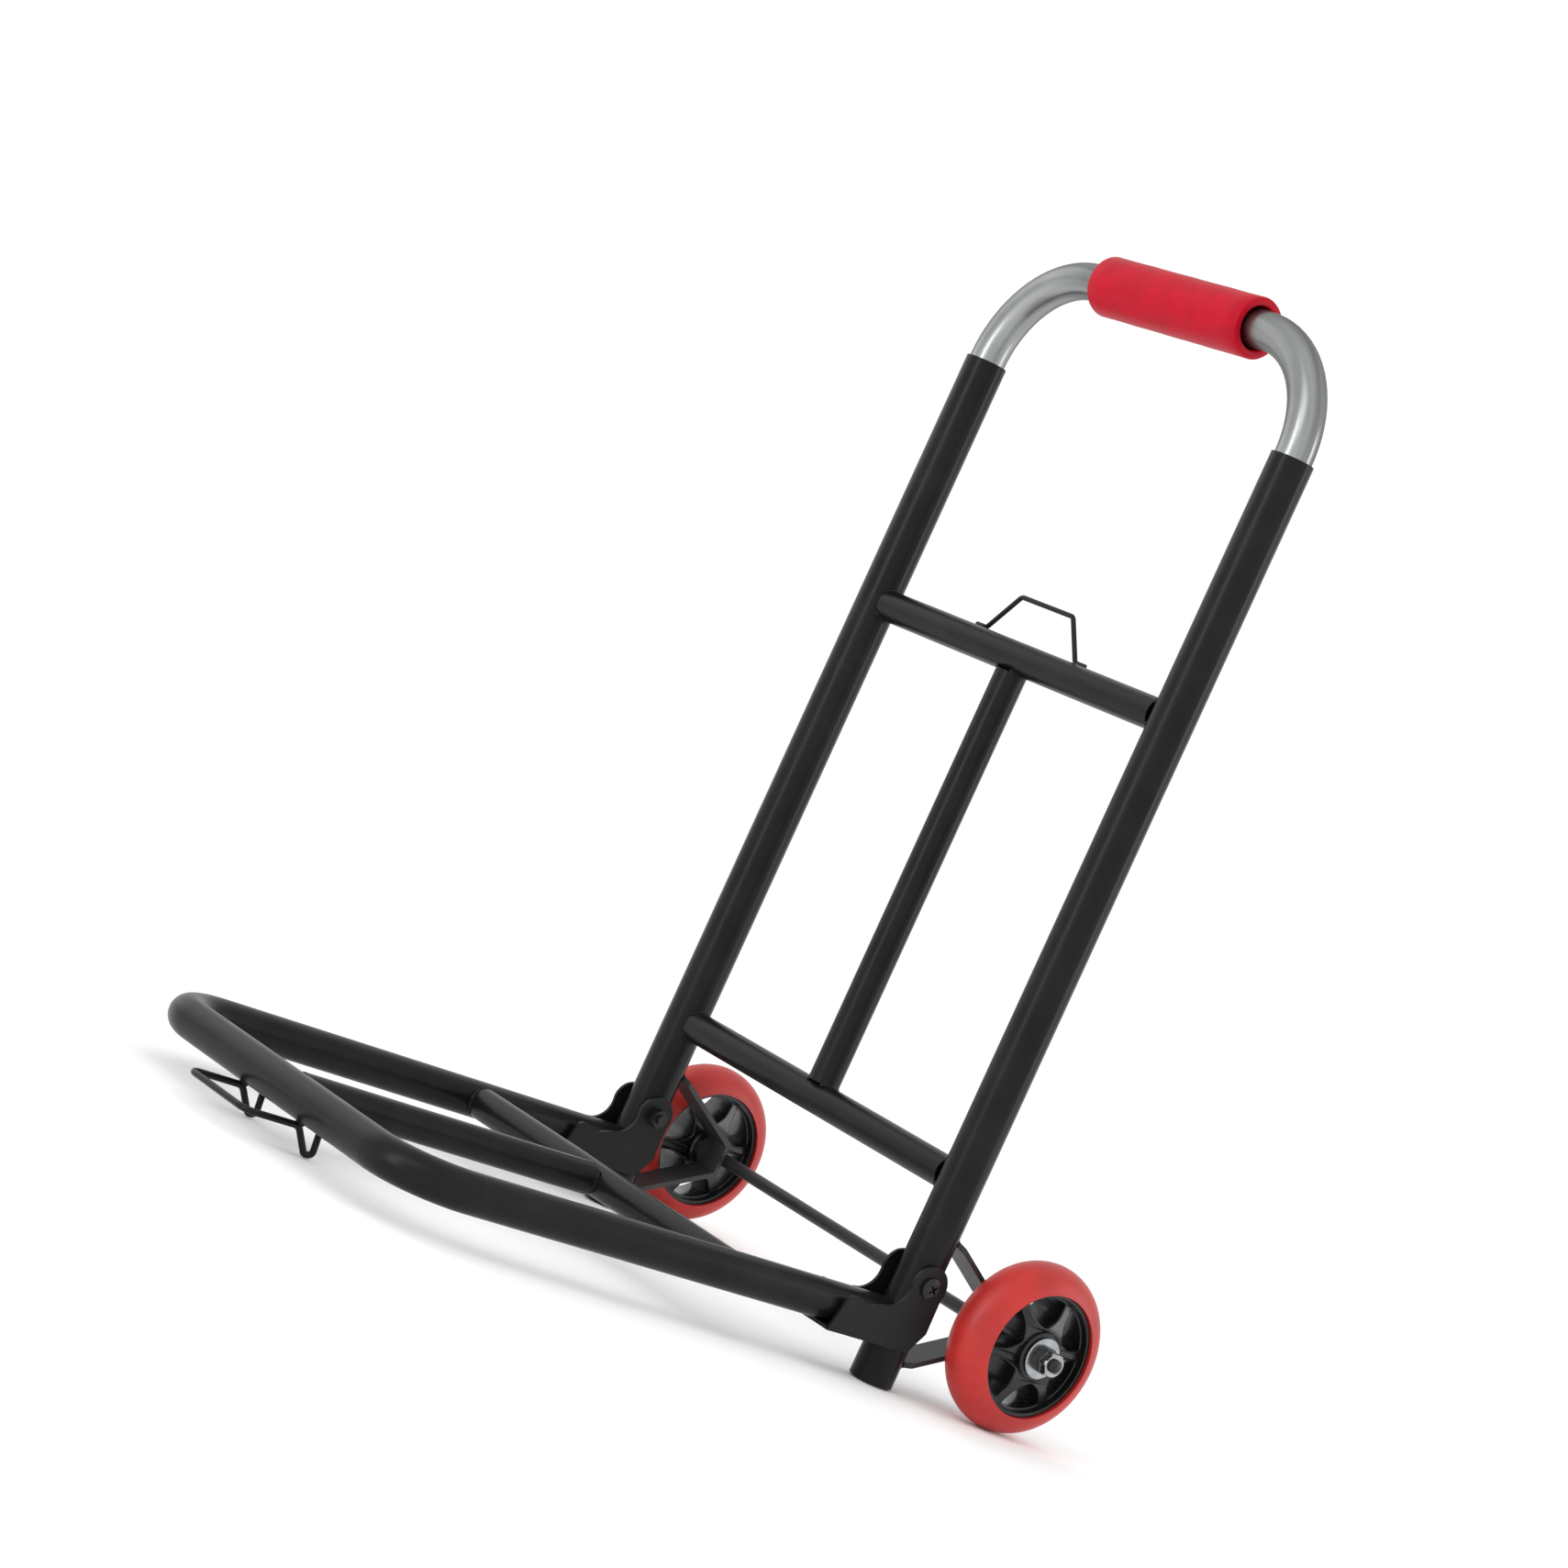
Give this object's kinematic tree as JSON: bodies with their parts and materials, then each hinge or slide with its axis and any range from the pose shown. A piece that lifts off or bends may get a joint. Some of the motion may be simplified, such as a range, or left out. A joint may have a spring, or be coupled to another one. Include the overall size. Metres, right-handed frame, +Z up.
{
  "type": "folding hand truck",
  "caption": "Small folding hand truck with a welded tube frame, sliding U handle, folding platform and two solid tyred wheels.",
  "frame": {"origin": "on the ground, midway between the two sides and midway between the front hook's tip and the back of the tyres", "axes": "+X towards the right-hand wheel along the axle, -Y towards the platform's front, +Z up"},
  "size_m": [0.3984, 0.4952, 0.6385],
  "materials": {
    "black_coat": "satin",
    "plated_tube": "semi-gloss",
    "grip_foam": "matte",
    "tyre_rubber": "satin",
    "hub_plastic": "semi-gloss",
    "zinc_plate": "satin",
    "dark_steel": "satin",
    "nylon": "matte",
    "spring_steel": "satin",
    "button_steel": "satin",
    "black_bolt": "satin"
  },
  "bodies": {
    "back_frame": {"upright_left": "black_coat", "upright_right": "black_coat", "upper_crossbar": "black_coat", "lower_crossbar": "black_coat", "centre_tube": "black_coat", "cord_hook": "black_coat", "wheel_strap_left": "black_coat", "wheel_strap_right": "black_coat", "axle_rod": "dark_steel", "inner_washers": "zinc_plate", "outer_washers": "zinc_plate", "spacer_rings": "dark_steel", "axle_nuts": "zinc_plate"},
    "platform": {"platform_tube": "black_coat", "platform_cross_tube": "black_coat", "platform_centre_tube": "black_coat", "front_hook": "black_coat", "hinge_bracket_left": "black_coat", "hinge_bracket_right": "black_coat", "hinge_bolts": "black_bolt", "hinge_nuts": "black_bolt"},
    "handle": {"handle_tube": "plated_tube", "leg_plugs": "nylon", "button_springs": "spring_steel"},
    "grip": {"grip": "grip_foam"},
    "left_button": {"snap_button_left": "button_steel"},
    "right_button": {"snap_button_right": "button_steel"},
    "left_wheel": {"tyre_left": "tyre_rubber", "hub_left": "hub_plastic"},
    "right_wheel": {"tyre_right": "tyre_rubber", "hub_right": "hub_plastic"}
  },
  "joints": [
    {"name": "platform_fold", "type": "hinge", "parent": "back_frame", "child": "platform", "pos_m": [0, 0.12714, 0.0618], "axis": [-1, 0, 0], "range_deg": [0, 91.5]},
    {"name": "handle_slide", "type": "slide", "parent": "back_frame", "child": "handle", "axis": [0, 0, 1], "range_m": [0, 0.375]},
    {"name": "grip_turn", "type": "hinge", "parent": "handle", "child": "grip", "pos_m": [0.003, 0.12914, 0.6205], "axis": [1, 0, 0], "continuous": true},
    {"name": "left_button_press", "type": "slide", "parent": "handle", "child": "left_button", "axis": [0, 1, 0], "range_m": [0, 0.0042]},
    {"name": "right_button_press", "type": "slide", "parent": "handle", "child": "right_button", "axis": [0, 1, 0], "range_m": [0, 0.0042]},
    {"name": "left_wheel_spin", "type": "hinge", "parent": "back_frame", "child": "left_wheel", "pos_m": [-0.168, 0.19764, 0.05], "axis": [1, 0, 0], "continuous": true},
    {"name": "right_wheel_spin", "type": "hinge", "parent": "back_frame", "child": "right_wheel", "pos_m": [0.168, 0.19764, 0.05], "axis": [1, 0, 0], "continuous": true}
  ]
}
